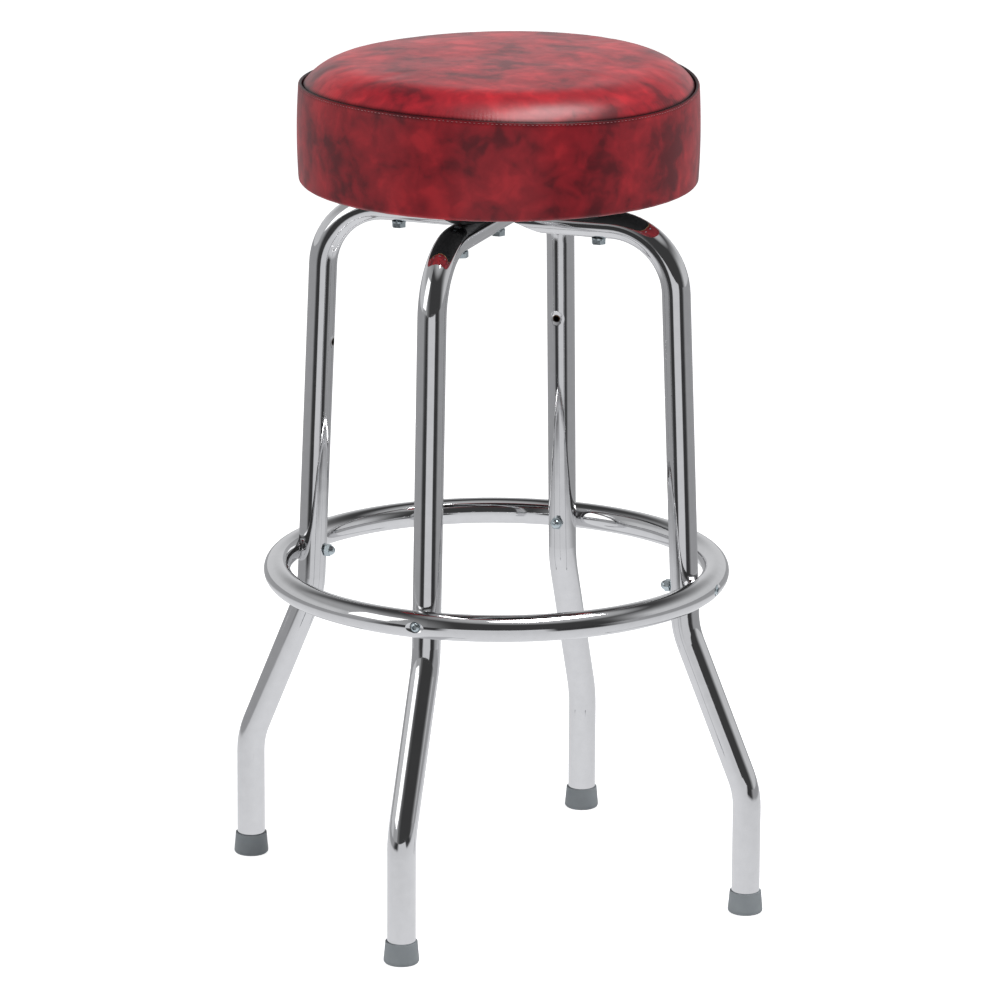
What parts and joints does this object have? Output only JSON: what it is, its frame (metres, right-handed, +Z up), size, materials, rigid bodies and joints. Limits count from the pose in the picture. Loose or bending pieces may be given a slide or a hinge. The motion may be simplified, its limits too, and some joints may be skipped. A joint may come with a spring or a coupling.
{
  "type": "diner counter stool",
  "caption": "Round swivelling counter stool: boxed vinyl cushion on a ball-bearing swivel, bent chrome tube legs crossing under the seat, a bolted foot ring and rubber tips.",
  "frame": {"origin": "on the floor, under the middle of the seat", "axes": "+Z up along the swivel axis; the legs of the upper frame stand on +X and -X and those of the lower frame on +Y and -Y, with the front leg on -Y"},
  "size_m": [0.5092, 0.5092, 0.7624],
  "materials": {
    "foot_tip_right": "moulded grey rubber",
    "foot_tip_back": "moulded grey rubber",
    "foot_tip_left": "moulded grey rubber",
    "foot_tip_front": "moulded grey rubber",
    "leg_frame_upper": "chrome-plated steel tube",
    "leg_frame_lower": "chrome-plated steel tube",
    "foot_ring": "chrome-plated steel tube",
    "ring_bolts": "plated steel",
    "ring_cap_nuts": "plated steel",
    "crossing_bolt": "zinc-plated steel",
    "crossing_washer": "zinc-plated steel",
    "crossing_nut": "zinc-plated steel",
    "swivel_lower_plate": "black-painted pressed steel",
    "plate_bolts": "zinc-plated steel",
    "plate_bolt_washers": "zinc-plated steel",
    "plate_bolt_nuts": "zinc-plated steel",
    "swivel_balls": "polished bearing steel",
    "ball_cage": "nylon",
    "swivel_keeper_ring": "black-painted pressed steel",
    "keeper_rivets": "zinc-plated steel",
    "swivel_upper_plate": "black-painted pressed steel",
    "seat_board_screws": "zinc-plated steel",
    "dust_cover": "black non-woven cloth",
    "seat_board": "plywood",
    "foam_pad": "upholstery foam",
    "seat_cover_band": "mottled crimson vinyl, glossy",
    "seat_cover_top": "mottled crimson vinyl, glossy",
    "cover_staples": "galvanised wire"
  },
  "bodies": {
    "base": {"foot_tip_right": "foot_tip_right", "foot_tip_back": "foot_tip_back", "foot_tip_left": "foot_tip_left", "foot_tip_front": "foot_tip_front", "leg_frame_upper": "leg_frame_upper", "leg_frame_lower": "leg_frame_lower", "foot_ring": "foot_ring", "ring_bolts": "ring_bolts", "ring_cap_nuts": "ring_cap_nuts", "crossing_bolt": "crossing_bolt", "crossing_washer": "crossing_washer", "crossing_nut": "crossing_nut", "swivel_lower_plate": "swivel_lower_plate", "plate_bolts": "plate_bolts", "plate_bolt_washers": "plate_bolt_washers", "plate_bolt_nuts": "plate_bolt_nuts"},
    "bearing": {"swivel_balls": "swivel_balls", "ball_cage": "ball_cage"},
    "seat": {"swivel_keeper_ring": "swivel_keeper_ring", "keeper_rivets": "keeper_rivets", "swivel_upper_plate": "swivel_upper_plate", "seat_board_screws": "seat_board_screws", "dust_cover": "dust_cover", "seat_board": "seat_board", "foam_pad": "foam_pad", "seat_cover_band": "seat_cover_band", "seat_cover_top": "seat_cover_top", "cover_staples": "cover_staples"}
  },
  "joints": [
    {"name": "seat_swivel", "type": "hinge", "parent": "base", "child": "seat", "pos_m": [0, 0, 0.64828], "axis": [0, 0, 1], "continuous": true},
    {"name": "ball_set_roll", "type": "hinge", "parent": "base", "child": "bearing", "pos_m": [0, 0, 0.64828], "axis": [0, 0, 1], "continuous": true}
  ],
  "couplings": [
    {"joint": "ball_set_roll", "follows": "seat_swivel", "ratio": 0.5}
  ]
}
